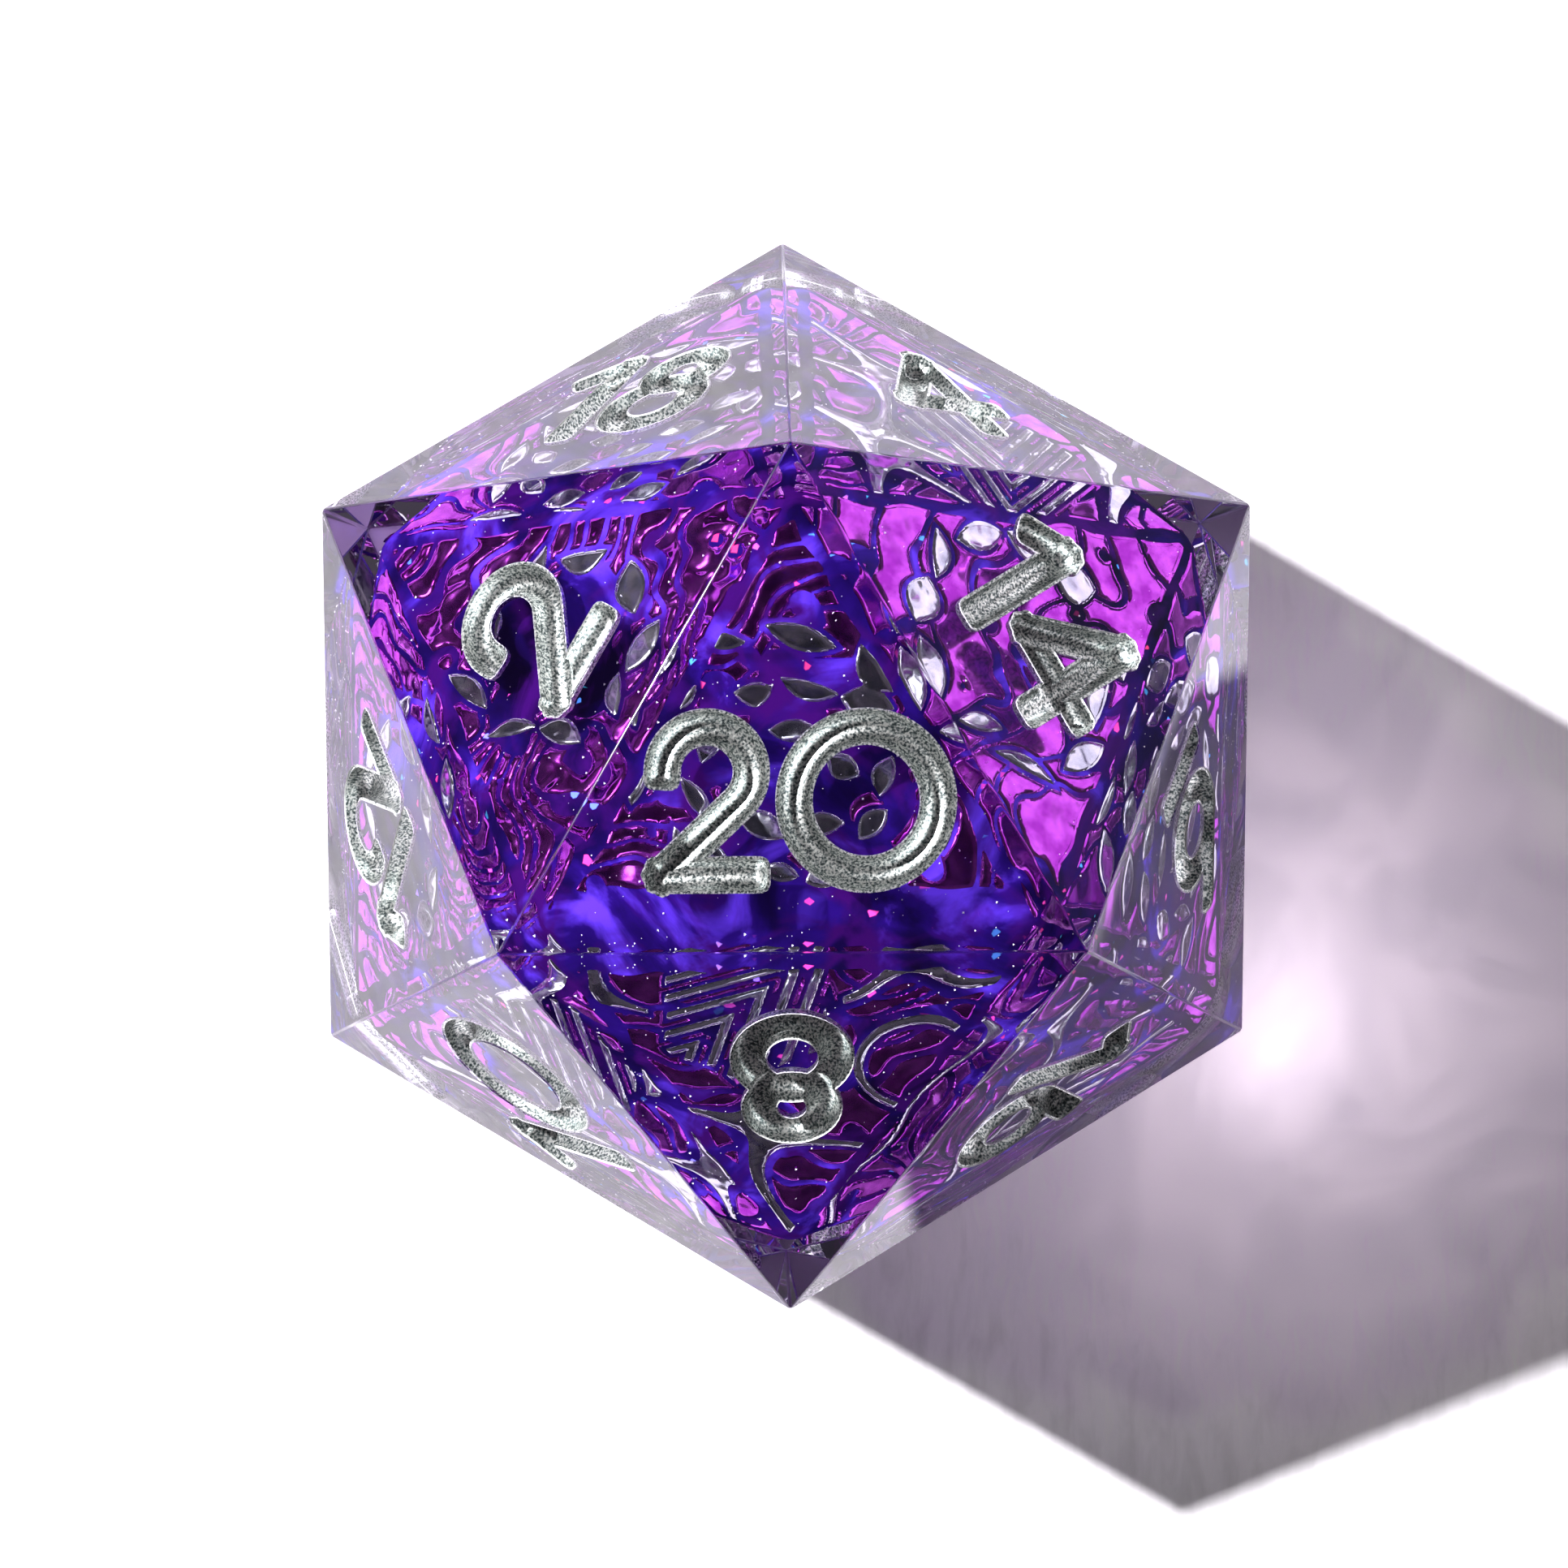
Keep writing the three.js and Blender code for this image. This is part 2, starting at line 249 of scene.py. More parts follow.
def bake_modifiers(piece):
    graph = bpy.context.evaluated_depsgraph_get()
    piece.data = bpy.data.meshes.new_from_object(piece.evaluated_get(graph))
    piece.modifiers.clear()


def boolean(piece, other, operation):
    """Changes piece's mesh by joining or cutting other, and discards other."""
    step = piece.modifiers.new("boolean", "BOOLEAN")
    step.object = other
    step.operation = operation
    step.solver = "MANIFOLD"
    bake_modifiers(piece)
    discard(other)


def copy_of(piece, name, matrix):
    mesh = piece.data.copy()
    mesh.transform(matrix)
    return new_object(name, mesh)


def place_and_smooth(piece):
    """Moves a big faceted body to the frame, with its flat faces shaded flat."""
    piece.data.transform(TO_FRAME)
    smooth(piece, SHARP_BODY)
    piece.modifiers.new("flat faces", "WEIGHTED_NORMAL").keep_sharp = True
    bake_modifiers(piece)


def icosahedron(name, face_distance, rounding):
    shape = bmesh.new()
    for corner in all_corners:
        shape.verts.new(corner * face_distance / HALF)
    bmesh.ops.convex_hull(shape, input=shape.verts)
    bmesh.ops.bevel(
        shape,
        geom=shape.edges[:] + shape.verts[:],
        offset=rounding,
        segments=3,
        profile=0.5,
        affect="EDGES",
    )
    return solid_object(name, shape)


# ---------------------------------------------------------------- numerals
# A stroke is its centre line in the face's plane, about the numeral's middle.
def arc(x, y, rx, ry, start, end):
    steps = max(3, round(math.radians(abs(end - start)) * max(rx, ry) / ARC_PIECE))
    angles = [math.radians(start + (end - start) * i / steps) for i in range(steps + 1)]
    return [(x + rx * math.cos(a), y + ry * math.sin(a)) for a in angles]


def ring(x, y, rx, ry):
    return {"points": arc(x, y, rx, ry, 0, 360)[:-1], "closed": True}


def line(*points):
    return {"points": list(points), "closed": False}


# A 6 is a ring and a straight stem that leaves the ring at SIX_LEAN and runs up to TOP.
SIX_BOWL = 1.05
SIX_LEAN = math.radians(150)
six_x = SIX_BOWL * math.cos(SIX_LEAN)
six_y = SIX_BOWL - TOP + SIX_BOWL * math.sin(SIX_LEAN)
six_top = six_x + (TOP - six_y) * math.tan(math.pi - SIX_LEAN)
SIX = [ring(0, SIX_BOWL - TOP, SIX_BOWL, SIX_BOWL), line((six_x, six_y), (six_top, TOP))]
NINE = [{"points": [(-x, -y) for x, y in s["points"]], "closed": s["closed"]} for s in SIX]
five_bowl = arc(-0.05, -0.65, 1.05, 1.05, 135, -150)

DIGITS = {
    "0": [ring(0, 0, 1.62, TOP)],
    "1": [line((0.3, -TOP), (0.3, TOP)), line((0.3, TOP), (-0.55, 1.05))],
    "2": [line(*arc(0, TOP - 1, 1, 1, 180, -45), (-1, -TOP)), line((-1, -TOP), (1, -TOP))],
    "3": [line(*arc(0, 0.9, 0.8, 0.8, 155, -90)), line(*arc(0, -0.8, 0.9, 0.9, 90, -155))],
    "4": [
        line((0.45, TOP), (0.45, -TOP)),
        line((0.45, TOP), (-1.15, -0.6)),
        line((-1.15, -0.6), (1.15, -0.6)),
    ],
    "5": [line((-0.75, TOP), (0.85, TOP)), line((-0.75, TOP), five_bowl[0]), line(*five_bowl)],
    "6": SIX,
    "7": [line((-1, TOP), (1, TOP)), line((1, TOP), (-0.35, -TOP))],
    "8": [ring(0, TOP - 0.74, 0.74, 0.74), ring(0, 1 - TOP, 1, 1)],
    "9": NINE,
    "bar": [line((-0.95, -TOP - BAR_DROP), (0.95, -TOP - BAR_DROP))],
}


def half_section(half_width, depth, top):
    """From the top edge of a round-bottomed groove to its bottom: distance out, and height."""
    wall = -WALL_SHARE * depth
    curve = [math.radians(a) for a in range(0, 91, TURN_PIECE)]
    lower = [(half_width * math.cos(a), wall - (depth + wall) * math.sin(a)) for a in curve]
    return [(half_width, top)] + lower


def stroke_solid(stroke, half):
    """The section swept along a stroke's centre line and turned round its two ends, which are
    square with rounded corners."""
    outline = half + [(-r, z) for r, z in half[-2::-1]]
    points = [Vector(p) for p in stroke["points"]]
    closed, count = stroke["closed"], len(stroke["points"])
    rings = []
    for i, here in enumerate(points):
        before = (here - points[i - 1]).normalized() if closed or i else None
        after = (points[(i + 1) % count] - here).normalized() if closed or i < count - 1 else None
        along = ((before or after) + (after or before)).normalized()
        side = Vector((along.y, -along.x)) / along.dot(before or after)
        turns = [0]
        if not closed and i == 0:
            turns = range(-90, 1, TURN_PIECE)
        if not closed and i == count - 1:
            turns = range(0, 91, TURN_PIECE)
        for turn in map(math.radians, turns):
            out, on = math.cos(turn), math.sin(turn)
            reach = (abs(out) ** CAP_POWER + abs(on) ** CAP_POWER) ** (-1 / CAP_POWER)
            flat = [here + (side * r * out + along * abs(r) * on) * reach for r, _ in outline]
            rings.append([(p.x, p.y, z) for p, (_, z) in zip(flat, outline)])
    shape = bmesh.new()
    verts = [[shape.verts.new(p) for p in ring_points] for ring_points in rings]
    spans = len(rings) if closed else len(rings) - 1
    wide = len(outline)
    for i in range(spans):
        a, b = verts[i], verts[(i + 1) % len(rings)]
        for j in range(wide):
            k = (j + 1) % wide
            shape.faces.new((a[j], b[j], b[k], a[k]))
    bmesh.ops.remove_doubles(shape, verts=shape.verts, dist=WELD)
    bmesh.ops.dissolve_degenerate(shape, edges=shape.edges, dist=WELD)
    return solid_object("stroke", shape)


def strokes_solid(strokes, half):
    whole = stroke_solid(strokes[0], half)
    for stroke in strokes[1:]:
        boolean(whole, stroke_solid(stroke, half), "UNION")
    return whole


def extent(character):
    xs = [x for stroke in DIGITS[character] for x, _ in stroke["points"]]
    return min(xs) - HALF_STROKE, max(xs) + HALF_STROKE


def numeral_marks(number):
    """The marks of one numeral: its place in it, its shape, and where it goes on the face."""
    characters = str(number)
    widths = [extent(c)[1] - extent(c)[0] for c in characters]
    x, y = TWENTY_AT if number == 20 else NUMERAL_AT
    left = x - (sum(widths) + DIGIT_GAP * (len(widths) - 1)) / 2
    barred = number in (6, 9)
    dy = y + (BAR_DROP / 2 if barred else 0)
    marks = []
    for place, character, width in zip(("tens", "units")[-len(characters) :], characters, widths):
        marks.append((place, character, left - extent(character)[0], dy))
        left += width + DIGIT_GAP
    if barred:
        marks.append(("bar", "bar", x, dy))
    return marks


# ---------------------------------------------------------------- foil patterns
# A pattern is a height in millimetres over the face's plane, above zero inside an island.
def edge_distance(x, y, radius):
    """Distance inside a triangle whose corners are at radius, the first one up the y axis."""
    sides = [math.radians(a) for a in (30, 150, 270)]
    return np.min([radius / 2 - x * math.cos(a) - y * math.sin(a) for a in sides], axis=0)


def waves(x, y, rng, wavelength):
    """A random smooth surface, mostly between -1 and 1, with hills about a wavelength apart."""
    total = np.zeros_like(x)
    for angle in rng.uniform(0, 2 * math.pi, 10):
        k = 2 * math.pi / (wavelength * rng.uniform(0.8, 1.25))
        total += np.cos(k * (x * math.cos(angle) + y * math.sin(angle)) + rng.uniform(0, 6.28))
    return total / math.sqrt(10)


def bands(x, y, rng, pitch, gap):
    """Winding bands with gaps between them."""
    across = x + BEND * waves(x, y, rng, BEND_LENGTH) + RIPPLE * waves(x, y, rng, RIPPLE_LENGTH)
    up = y + BEND * waves(x, y, rng, BEND_LENGTH) + RIPPLE * waves(x, y, rng, RIPPLE_LENGTH)
    angle = rng.uniform(0, math.pi)
    along = np.mod(across * math.cos(angle) + up * math.sin(angle), pitch)
    return pitch / 2 - gap / 2 - np.abs(along - pitch / 2)


def leaf(x, y, cx, cy, angle, length, width, flatness):
    """One leaf. flatness takes the bulge off one side, down to a half moon at 1."""
    u = (x - cx) * math.cos(angle) + (y - cy) * math.sin(angle)
    v = (y - cy) * math.cos(angle) - (x - cx) * math.sin(angle)
    bulge = (1 - (2 * u / length) ** 2) * width / 2
    return np.minimum(bulge - v, v + bulge * (1 - flatness))


def leaf_ring(x, y, rng, radius, count, length, width):
    """Leaves of uneven size and lean, spread round a ring."""
    field = np.full_like(x, -1.0)
    start = rng.uniform(0, 2 * math.pi)
    for i in range(count):
        around = start + 2 * math.pi * i / count + rng.uniform(-0.12, 0.12)
        lean = around + math.pi / 2 + rng.uniform(-0.7, 0.7)
        far = radius * rng.uniform(0.9, 1.1)
        one = leaf(
            x,
            y,
            far * math.cos(around),
            far * math.sin(around),
            lean,
            length * rng.uniform(0.75, 1.2),
            width * rng.uniform(0.75, 1.3),
            rng.uniform(0, 0.9),
        )
        field = np.maximum(field, one)
    return field


def chevrons(x, y, rng):
    """Nested V lines in a rounded patch, pointing in a random direction."""
    angle = rng.uniform(0, 2 * math.pi)
    u = x * math.cos(angle) + y * math.sin(angle)
    v = np.abs(y * math.cos(angle) - x * math.sin(angle))
    phase = np.mod(u + ZIGZAG_SLOPE * v, ZIGZAG_PITCH) - ZIGZAG_PITCH / 2
    patch = ZIGZAG_REACH - np.hypot(x, y) + 0.4 * waves(x, y, rng, 2.5)
    return np.minimum(ZIGZAG_LINE / 2 - np.abs(phase) / 2, patch)


def foil_fields(number, x, y):
    """The silver and the magenta pattern on one core face. The magenta bands have a pitch and
    a gap and leave the face bare up to a distance from its middle, but for some petals."""
    rng = np.random.default_rng(100 + number)
    far = np.hypot(x, y)
    petals = np.full_like(x, -1.0)
    if number in LEAFY_FACES:
        silver = np.max([leaf_ring(x, y, rng, *sizes) for sizes in LEAFY_RINGS], axis=0)
        petals = leaf_ring(x, y, rng, *LEAFY_PETALS)
        pitch, gap, bare = LEAFY_BANDS
    elif number in LINED_FACES:
        aside = rng.uniform(0, 2 * math.pi)
        zigzag_x = x - ZIGZAG_ASIDE * math.cos(aside)
        zigzag_y = y - ZIGZAG_ASIDE * math.sin(aside)
        silver = chevrons(zigzag_x, zigzag_y, rng)
        curves = 0.1 - 0.7 * np.abs(waves(x, y, rng, CURVES_LENGTH))
        curves = np.minimum(curves, np.hypot(zigzag_x, zigzag_y) - CURVES_FROM)
        silver = np.maximum(silver, curves)
        petals = leaf_ring(x, y, rng, *LINED_PETALS)
        pitch, gap, bare = LINED_BANDS
    elif number in CRINKLED_FACES:
        silver = leaf_ring(x, y, rng, *CRINKLED_RING)
        pitch, gap, bare = CRINKLED_BANDS
    else:
        silver = leaf_ring(x, y, rng, *BROAD_RING)
        pitch, gap, bare = BROAD_BANDS
    magenta = bands(x, y, rng, pitch, gap)
    magenta = np.minimum(magenta, 0.65 + 0.45 * waves(x, y, rng, 1.7))
    magenta = np.minimum(magenta, far - bare - 0.4 * waves(x, y, rng, 2.0))
    magenta = np.minimum(np.maximum(magenta, petals), -silver - FOIL_GAP)
    radius = CORE_SCALE * FACE_RADIUS
    border = edge_distance(x, y, radius) - FOIL_MARGIN
    if number in BARE_STRIP_FACES:
        border = np.minimum(border, y + radius / 2 - FOIL_BASE_MARGIN)
    border -= 0.06 * waves(x, y, rng, 1.5)
    return np.minimum(silver, border), np.minimum(magenta, border)


def triangle_grid(radius, pitch):
    """Points over a face and the small triangles between them."""
    count = math.ceil(radius * math.sqrt(3) / pitch)
    tips = [
        np.array((radius * math.cos(a), radius * math.sin(a)))
        for a in (math.pi / 2, math.pi * 7 / 6, math.pi * 11 / 6)
    ]
    rows = [(i, j) for i in range(count + 1) for j in range(count + 1 - i)]
    place = {key: n for n, key in enumerate(rows)}
    weights = np.array(rows) / count
    points = tips[0] + weights[:, :1] * (tips[1] - tips[0]) + weights[:, 1:] * (tips[2] - tips[0])
    triangles = []
    for i, j in rows:
        if i + j < count:
            triangles.append((place[i, j], place[i + 1, j], place[i, j + 1]))
        if i + j < count - 1:
            triangles.append((place[i + 1, j], place[i + 1, j + 1], place[i, j + 1]))
    return points, np.array(triangles)


grid_points, grid_triangles = triangle_grid(CORE_SCALE * FACE_RADIUS, FOIL_PITCH)


def island_mesh(field, rng):
    """Cuts the grid along the field's zero line. Returns the islands' points and triangles,
    with rounded rims and walls that go down into the core."""
    inside = field > 0
    corner_in = inside[grid_triangles]
    count_in = corner_in.sum(axis=1)
    whole = grid_triangles[count_in == 3]

    crossing = {}
    cut_points = []

    def cut(a, b):
        key = (min(a, b), max(a, b))
        if key not in crossing:
            t = field[a] / (field[a] - field[b])
            crossing[key] = len(grid_points) + len(cut_points)
            cut_points.append(grid_points[a] * (1 - t) + grid_points[b] * t)
        return crossing[key]

    partial, rim = [], []
    for triangle, flags in zip(
        grid_triangles[(count_in > 0) & (count_in < 3)],
        corner_in[(count_in > 0) & (count_in < 3)],
    ):
        odd = int(np.argmax(flags)) if flags.sum() == 1 else int(np.argmin(flags))
        a, b, c = (int(triangle[(odd + k) % 3]) for k in range(3))
        ab, ac = cut(a, b), cut(a, c)
        if flags.sum() == 1:
            partial.append((a, ab, ac))
            rim.append((ab, ac))
        else:
            partial += [(ab, b, c), (ab, c, ac)]
            rim.append((ac, ab))

    x, y = grid_points[:, 0], grid_points[:, 1]
    swell = FOIL_SWELL * waves(x, y, rng, 1.3)
    rise = np.sqrt(np.clip(field / FOIL_RIM, 0, 1))
    height = FOIL_HEIGHT * (FOIL_EDGE + (1 - FOIL_EDGE) * rise) + swell * inside
    flat = np.vstack([grid_points, np.array(cut_points).reshape(-1, 2)])
    heights = np.concatenate([height, np.full(len(cut_points), FOIL_EDGE * FOIL_HEIGHT)])
    points = np.column_stack([flat, heights])
    foot = {}
    walls = []
    low_points = []
    for a, b in rim:
        for end in (a, b):
            if end not in foot:
                foot[end] = len(points) + len(low_points)
                low_points.append((*points[end, :2], -FOIL_ROOT))
        walls += [(a, foot[a], foot[b]), (a, foot[b], b)]
    triangles = np.array([*map(tuple, whole), *partial, *walls])
    points = np.vstack([points, np.array(low_points)])
    used, triangles = np.unique(triangles, return_inverse=True)
    return points[used], triangles.reshape(-1, 3)


# ---------------------------------------------------------------- materials
def new_material(name):
    material = bpy.data.materials.new(name)
    material.use_nodes = True
    nodes, links = material.node_tree.nodes, material.node_tree.links
    return material, nodes, links, nodes["Principled BSDF"]


def object_point(nodes):
    return nodes.new("ShaderNodeTexCoord").outputs["Object"]


def noise(nodes, links, point, feature_mm, detail=2.0, distortion=0.0):
    node = nodes.new("ShaderNodeTexNoise")
    node.inputs["Scale"].default_value = 1 / (feature_mm * MM)
    node.inputs["Detail"].default_value = detail
    node.inputs["Distortion"].default_value = distortion
    links.new(point, node.inputs["Vector"])
    return node.outputs["Fac"]


def ramp(nodes, links, source, *stops):
    node = nodes.new("ShaderNodeValToRGB")
    colours = node.color_ramp.elements
    while len(colours) < len(stops):
        colours.new(0.5)
    for element, (position, colour) in zip(colours, stops):
        element.position = position
        element.color = (*colour, 1)
    links.new(source, node.inputs["Fac"])
    return node.outputs["Color"]


def map_range(nodes, links, value, low, high, top=1.0):
    """Takes low to 0 and high to top, and stays between them outside."""
    node = nodes.new("ShaderNodeMapRange")
    node.inputs["From Min"].default_value = low
    node.inputs["From Max"].default_value = high
    node.inputs["To Max"].default_value = top
    links.new(value, node.inputs["Value"])
    return node


def combine(nodes, links, operation, a, b):
    node = nodes.new("ShaderNodeMath")
    node.operation = operation
    links.new(a, node.inputs[0])
    links.new(b, node.inputs[1])
    return node.outputs["Value"]


def vector_step(nodes, links, operation, vector, fixed):
    node = nodes.new("ShaderNodeVectorMath")
    node.operation = operation
    node.inputs[1].default_value = fixed
    links.new(vector, node.inputs[0])
    return node


def bump(nodes, links, height, distance_mm, shader, strength=1.0):
    node = nodes.new("ShaderNodeBump")
    node.inputs["Distance"].default_value = distance_mm * MM
    node.inputs["Strength"].default_value = strength
    links.new(height, node.inputs["Height"])
    links.new(node.outputs["Normal"], shader.inputs["Normal"])
    return node


def mix_colour(nodes, links, factor, a, b):
    node = nodes.new("ShaderNodeMix")
    node.data_type = "RGBA"
    links.new(factor, node.inputs["Factor"])
    for socket, value in ((node.inputs["A"], a), (node.inputs["B"], b)):
        if isinstance(value, tuple):
            socket.default_value = (*value, 1)
        else:
            links.new(value, socket)
    return node.outputs["Result"]


def clear_resin(name, roughness):
    """Clear casting resin. Lamps' light goes straight in to what is inside, but little of it
    comes out again on the far side, so the whole die casts a shadow."""
    material, nodes, links, shader = new_material(name)
    shader.inputs["Base Color"].default_value = (*RESIN_TINT, 1)
    shader.inputs["Roughness"].default_value = roughness
    shader.inputs["IOR"].default_value = 1.5
    shader.inputs["Transmission Weight"].default_value = 1.0
    path = nodes.new("ShaderNodeLightPath")
    through = nodes.new("ShaderNodeBsdfTransparent")
    side = nodes.new("ShaderNodeNewGeometry")
    tint = mix_colour(nodes, links, side.outputs["Backfacing"], RESIN_SHADOW, RESIN_ENTRY)
    links.new(tint, through.inputs["Color"])
    choose = nodes.new("ShaderNodeMixShader")
    links.new(path.outputs["Is Shadow Ray"], choose.inputs["Fac"])
    links.new(shader.outputs["BSDF"], choose.inputs[1])
    links.new(through.outputs["BSDF"], choose.inputs[2])
    links.new(choose.outputs["Shader"], nodes["Material Output"].inputs["Surface"])
    return material


def violet_resin():
    """Cloudy indigo and violet with a darker purple veil and a few opal flecks painted as
    coloured glints. All of it also gives off its colour as a painted glow.
    """
    material, nodes, links, shader = new_material("violet_resin")
    point = object_point(nodes)
    cloud = noise(nodes, links, point, 3.2, detail=5.0, distortion=1.2)
    base = ramp(
        nodes,
        links,
        cloud,
        (0.34, (0.002, 0.0004, 0.010)),
        (0.46, (0.0035, 0.0009, 0.028)),
        (0.56, (0.009, 0.0018, 0.075)),
        (0.67, (0.06, 0.02, 0.38)),
    )
    wisps = noise(nodes, links, point, 1.6, detail=4.0, distortion=1.0)
    veil = map_range(nodes, links, wisps, 0.48, 0.66).outputs["Result"]
    base = mix_colour(nodes, links, veil, base, (0.018, 0.0014, 0.055))

    def cells(feature):
        node = nodes.new("ShaderNodeTexVoronoi")
        node.feature = feature
        node.inputs["Scale"].default_value = 1 / (OPAL_SIZE * MM)
        links.new(point, node.inputs["Vector"])
        return node

    parts = nodes.new("ShaderNodeSeparateColor")
    links.new(cells("F1").outputs["Color"], parts.inputs["Color"])
    # opal flecks, painted as bright coloured glints
    hue = ramp(
        nodes,
        links,
        parts.outputs["Green"],
        (0.0, (0.9, 0.05, 0.18)),
        (0.4, (0.75, 0.06, 0.50)),
        (0.7, (0.10, 0.20, 1.0)),
        (1.0, (0.06, 0.55, 0.85)),
    )
    edge = cells("DISTANCE_TO_EDGE").outputs["Distance"]
    inner = map_range(nodes, links, edge, 0.04, 0.18)
    inner.interpolation_type = "SMOOTHSTEP"
    chosen = map_range(nodes, links, parts.outputs["Red"], OPAL_RARITY, 1.0)
    share = combine(nodes, links, "MULTIPLY", inner.outputs["Result"], chosen.outputs["Result"])
    colour = mix_colour(nodes, links, share, base, hue)
    links.new(colour, shader.inputs["Base Color"])
    # painted glow: the core gives off its own colour as light, the opal flecks too
    links.new(colour, shader.inputs["Emission Color"])
    shader.inputs["Emission Strength"].default_value = CORE_GLOW
    shader.inputs["Roughness"].default_value = 0.5
    shader.inputs["Specular IOR Level"].default_value = 0.0
    return material


def foil(name, tones, crinkle_mm):
    """Mirror foil, a little uneven in colour. Its shading normals all lean a little one way, as
    on a core that isn't quite level, so one of the sloping faces mirrors more of the paper."""
    material, nodes, links, shader = new_material(name)
    point = object_point(nodes)
    patches = noise(nodes, links, point, 0.5, detail=3.0)
    colour = ramp(nodes, links, patches, (0.35, tones[0]), (0.62, tones[1]))
    links.new(colour, shader.inputs["Base Color"])
    shader.inputs["Metallic"].default_value = 1.0
    shader.inputs["Roughness"].default_value = FOIL_ROUGHNESS
    normal = nodes.new("ShaderNodeNewGeometry").outputs["Normal"]
    lean = vector_step(nodes, links, "ADD", normal, FOIL_LEAN)
    crinkle = noise(nodes, links, point, 0.6, detail=0.6, distortion=0.5)
    step = bump(nodes, links, crinkle, crinkle_mm, shader)
    links.new(lean.outputs["Vector"], step.inputs["Normal"])
    return material


def silver_ink():
    """Metallic ink with fine bright and dark grains."""
    material, nodes, links, shader = new_material("silver_ink")
    point = object_point(nodes)
    grains = noise(nodes, links, point, 0.06)
    colour = ramp(
        nodes,
        links,
        grains,
        (0.37, (0.08, 0.10, 0.105)),
        (0.48, (0.42, 0.46, 0.46)),
        (0.58, (1.0, 1.0, 0.98)),
    )
    links.new(colour, shader.inputs["Base Color"])
    shader.inputs["Metallic"].default_value = 1.0
    shader.inputs["Roughness"].default_value = 0.32
    bumps = noise(nodes, links, point, 0.08, detail=3.0)
    bump(nodes, links, bumps, 0.01, shader, strength=0.7)
    return material


def glitter():
    material, _, _, shader = new_material("glitter")
    shader.inputs["Base Color"].default_value = (0.95, 0.93, 1.0, 1)
    shader.inputs["Roughness"].default_value = 0.4
    return material


def paper():
    """White paper with a streaky grain and a painted shade right under the die. A painted glow
    and one painted bright spot, given off by the paper in the die's shadow, stand in for light
    that the die gathers there."""
    material, nodes, links, shader = new_material("paper")
    shader.inputs["Roughness"].default_value = 0.9
    shader.inputs["Specular IOR Level"].default_value = 0.1
    point = object_point(nodes)
    stretched = vector_step(nodes, links, "MULTIPLY", point, (1, 0.3, 1))
    streaky = stretched.outputs["Vector"]
    grain = noise(nodes, links, streaky, 0.45, detail=6.0, distortion=0.4)
    tone = ramp(nodes, links, grain, (0.3, (0.77, 0.74, 0.78)), (0.7, (0.95, 0.915, 0.965)))

    def patch(place, core, reach, strength):
        """Strength up to core from the place, then less, and nothing from reach on."""
        away = vector_step(nodes, links, "DISTANCE", point, place).outputs["Value"]
        fade = map_range(nodes, links, away, reach, core, math.sqrt(strength)).outputs["Result"]
        return combine(nodes, links, "MULTIPLY", fade, fade)

    # painted shade: the paper's colour is darker right under the die
    under = patch(UNDER_CENTRE, UNDER_CORE, UNDER_REACH, UNDER_SHADE)
    tone = mix_colour(nodes, links, under, tone, PAINTED_SHADE_COLOUR)
    links.new(tone, shader.inputs["Base Color"])
    # painted light: the paper gives off a glow and one bright spot in the die's shadow, with
    # faint streaks
    glow = patch(GLOW_CENTRE, 0, GLOW_REACH, GLOW_STRENGTH)
    hot_spot = patch(HOT_SPOT, 0, HOT_SPOT_REACH, HOT_SPOT_STRENGTH)
    painted_glow = combine(nodes, links, "ADD", glow, hot_spot)
    streaks = noise(nodes, links, point, 6.0, detail=3.0, distortion=2.0)
    light = ramp(nodes, links, streaks, (0.35, (0.84, 0.71, 0.86)), (0.65, (1.20, 1.0, 1.18)))
    links.new(light, shader.inputs["Emission Color"])
    links.new(painted_glow, shader.inputs["Emission Strength"])
    return material


CLEAR = clear_resin("clear_resin", 0.0)
CLEAR_EDGE = clear_resin("clear_resin_edge", 0.16)
VIOLET = violet_resin()
MAGENTA = foil("magenta_foil", MAGENTA_TONES, SMOOTH_FOIL)
MAGENTA_CRINKLED = foil("magenta_foil_crinkled", MAGENTA_TONES, CRINKLED_FOIL)
SILVER = foil("silver_foil", SILVER_TONES, SILVER_CRINKLE)
INK = silver_ink()
GLITTER = glitter()


def finish_piece(piece, material, slot, *nodes):
    """Gives a piece its material, hangs it on the root body and hides the parts that it stands
    for.
    """
    piece.data.materials.clear()
    piece.data.materials.append(material)
    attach(piece, "root")
    if nodes:
        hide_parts(*nodes)


# ---------------------------------------------------------------- ink and clear body
cut_section = half_section(HALF_STROKE, GROOVE_DEPTH, CUTTER_TOP)
ink_outer = half_section(HALF_STROKE + INK_BITE, GROOVE_DEPTH + INK_BITE, -INK_RECESS)
ink_inner = half_section(HALF_STROKE - INK_COAT, GROOVE_DEPTH - INK_COAT, CUTTER_TOP)
cutters, inks = {}, {}
for character, strokes in DIGITS.items():
    cutters[character] = strokes_solid(strokes, cut_section)
    inks[character] = strokes_solid(strokes, ink_outer)
    boolean(inks[character], strokes_solid(strokes, ink_inner), "DIFFERENCE")

# The clear body's bevels are slightly matt, like a worn edge.
body = icosahedron("clear_body", HALF, EDGE_ROUNDING)
body.data.materials.append(CLEAR)
body.data.materials.append(CLEAR_EDGE)
for side in body.data.polygons:
    side.material_index = int(side.area < BEVEL_AREA)
for number, placed in faces.items():
    for place, character, dx, dy in numeral_marks(number):
        there = placed @ Matrix.Translation((dx, dy, 0))
        boolean(body, copy_of(cutters[character], "cutter", there), "DIFFERENCE")
        ink = copy_of(inks[character], f"silver_ink_{number:02d}_{place}", TO_FRAME @ there)
        smooth(ink, SHARP_INK)
        finish_piece(ink, INK, "silver_ink", f"ink_face_{number:02d}_{place}")
discard(*cutters.values(), *inks.values())

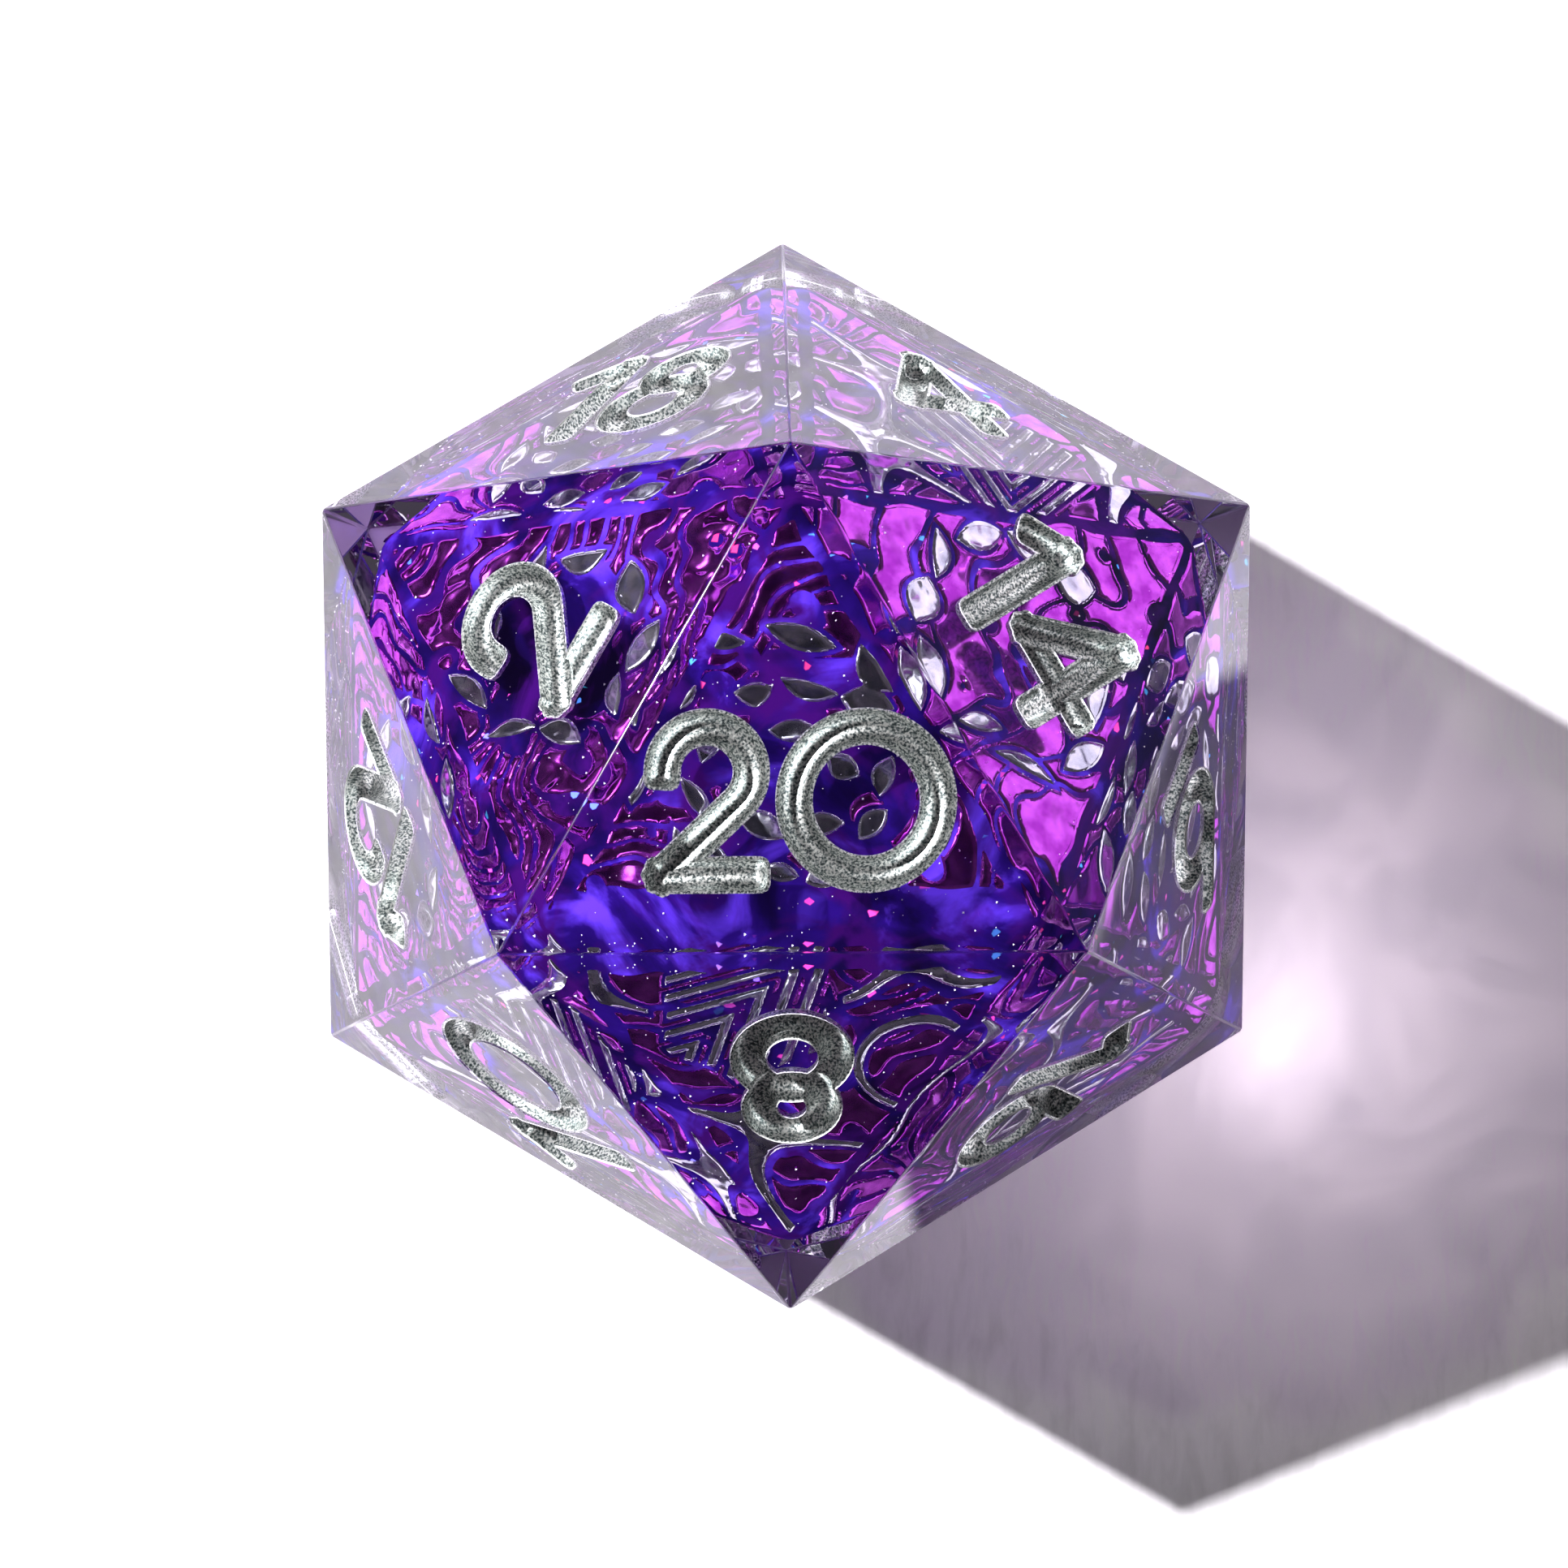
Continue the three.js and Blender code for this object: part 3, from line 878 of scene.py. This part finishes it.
place_and_smooth(body)
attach(body, "root")
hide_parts("resin_upper_pour", "resin_lower_pour")

# ---------------------------------------------------------------- core, foil and glitter
core = icosahedron("violet_core", CORE_SCALE * HALF, CORE_ROUNDING)
place_and_smooth(core)
finish_piece(core, VIOLET, "violet_resin", "core")

for number, placed in faces.items():
    on_core = placed.copy()
    on_core.translation = placed.translation * CORE_SCALE
    fields = foil_fields(number, grid_points[:, 0], grid_points[:, 1])
    magenta = MAGENTA_CRINKLED if number in CRINKLED_FACES else MAGENTA
    for word, field, material in zip(("silver", "magenta"), fields, (SILVER, magenta)):
        points, triangles = island_mesh(field, np.random.default_rng(number))
        piece = mesh_object(f"{word}_foil_{number:02d}", points, triangles)
        piece.data.transform(TO_FRAME @ on_core)
        smooth(piece, SHARP_FOIL)
        finish_piece(piece, material, f"{word}_foil", f"foil_face_{number:02d}")

rng = np.random.default_rng(7)
speck_points, speck_faces = [], []
speck_corners = [Vector(v) for v in ((1, 1, 1), (-1, -1, 1), (-1, 1, -1), (1, -1, -1))]
dust_radius = CORE_SCALE * FACE_RADIUS * DUST_REACH
tips = [ring_corner(dust_radius, 0, angle) for angle in (90, 210, 330)]
for _ in range(DUST_COUNT):
    placed = faces[int(rng.integers(1, 21))]
    a, b = rng.random(2)
    if a + b > 1:
        a, b = 1 - a, 1 - b
    spot = tips[0] + (tips[1] - tips[0]) * a + (tips[2] - tips[0]) * b
    spot.z = rng.uniform(0.0, DUST_RISE) - (1 - CORE_SCALE) * HALF
    size = SPECK_MIN + SPECK_SPREAD * rng.random() ** 3
    first = len(speck_points)
    speck_points += [TO_FRAME @ placed @ (spot + corner * size) for corner in speck_corners]
    for three in ((0, 1, 2), (0, 3, 1), (0, 2, 3), (1, 3, 2)):
        speck_faces.append([first + k for k in three])
dust = mesh_object("glitter_dust", speck_points, speck_faces)
finish_piece(dust, GLITTER, "silver_foil")

# ---------------------------------------------------------------- floor, light and camera
near, far = PAPER_NEAR, PAPER_FAR
paper_corners = [(near, near, 0), (far, near, 0), (far, far, 0), (near, far, 0)]
floor = mesh_object("floor", paper_corners, [(0, 1, 2, 3)])
floor.location.z = -PAPER_DROP
floor.data.materials.append(paper())


def lamp(name, kind, energy, towards):
    """A lamp that shines from the direction towards it."""
    data = bpy.data.lights.new(name, kind)
    data.energy = energy
    light = new_object(name, data)
    light.rotation_euler = towards.to_track_quat("Z", "Y").to_euler()
    return light


sun = lamp("key", "SUN", SUN_STRENGTH, SUN_TOWARDS)
sun.data.angle = math.radians(SUN_SIZE)

azimuth, elevation = math.radians(REFLECTOR_AZIMUTH), math.radians(REFLECTOR_ELEVATION)
level = math.cos(elevation)
towards = Vector((math.cos(azimuth) * level, math.sin(azimuth) * level, math.sin(elevation)))
power = REFLECTOR_RADIANCE * math.pi * REFLECTOR_WIDTH * REFLECTOR_HEIGHT
reflector = lamp("right_reflector", "AREA", power, towards)
reflector.data.shape = "RECTANGLE"
reflector.data.size, reflector.data.size_y = REFLECTOR_WIDTH, REFLECTOR_HEIGHT
reflector.location = towards * REFLECTOR_DISTANCE

# A dim grey room to everything but the camera, which sees plain white past the paper
world = bpy.data.worlds.new("studio")
scene.world = world
world.use_nodes = True
sky_nodes, sky_links = world.node_tree.nodes, world.node_tree.links
heading = sky_nodes.new("ShaderNodeTexCoord")
split = sky_nodes.new("ShaderNodeSeparateXYZ")
sky_links.new(heading.outputs["Generated"], split.inputs["Vector"])
band = ramp(
    sky_nodes,
    sky_links,
    split.outputs["Z"],
    (0.10, (0.03, 0.027, 0.033)),
    (0.30, ROOM_GREY),
    (0.88, ROOM_GREY),
    (0.97, (0.02, 0.02, 0.022)),
)
room = sky_nodes["Background"]
sky_links.new(band, room.inputs["Color"])
backdrop = sky_nodes.new("ShaderNodeBackground")
backdrop.inputs["Color"].default_value = (1, 1, 1, 1)
sky_path = sky_nodes.new("ShaderNodeLightPath")
sky_mix = sky_nodes.new("ShaderNodeMixShader")
sky_links.new(sky_path.outputs["Is Camera Ray"], sky_mix.inputs["Fac"])
sky_links.new(room.outputs["Background"], sky_mix.inputs[1])
sky_links.new(backdrop.outputs["Background"], sky_mix.inputs[2])
sky_links.new(sky_mix.outputs["Shader"], sky_nodes["World Output"].inputs["Surface"])

camera_data = bpy.data.cameras.new("camera")
camera_data.sensor_width = SENSOR_WIDTH
camera_data.lens = SENSOR_WIDTH * CAMERA_DISTANCE / CAMERA_WIDTH
camera_data.clip_start, camera_data.clip_end = 0.01, 10
camera = new_object("camera", camera_data)
scene.camera = camera
back = Vector([math.tan(math.radians(lean)) for lean in CAMERA_LEAN] + [1]).normalized()
right = Vector((0, 1, 0)).cross(back).normalized()
turn = Matrix((right, back.cross(right), back)).transposed().to_4x4()
turn @= Matrix.Rotation(math.radians(CAMERA_ROLL), 4, "Z")
aim = Vector((*CAMERA_AIM, HALF * MM))
camera.matrix_world = Matrix.Translation(aim + back * CAMERA_DISTANCE) @ turn

scene.view_settings.view_transform = "Standard"
scene.cycles.use_denoising = True
scene.cycles.max_bounces = 14
scene.cycles.transmission_bounces = 12
scene.cycles.glossy_bounces = 8
scene.cycles.diffuse_bounces = 4
scene.cycles.transparent_max_bounces = 16
scene.cycles.sample_clamp_indirect = 6.0
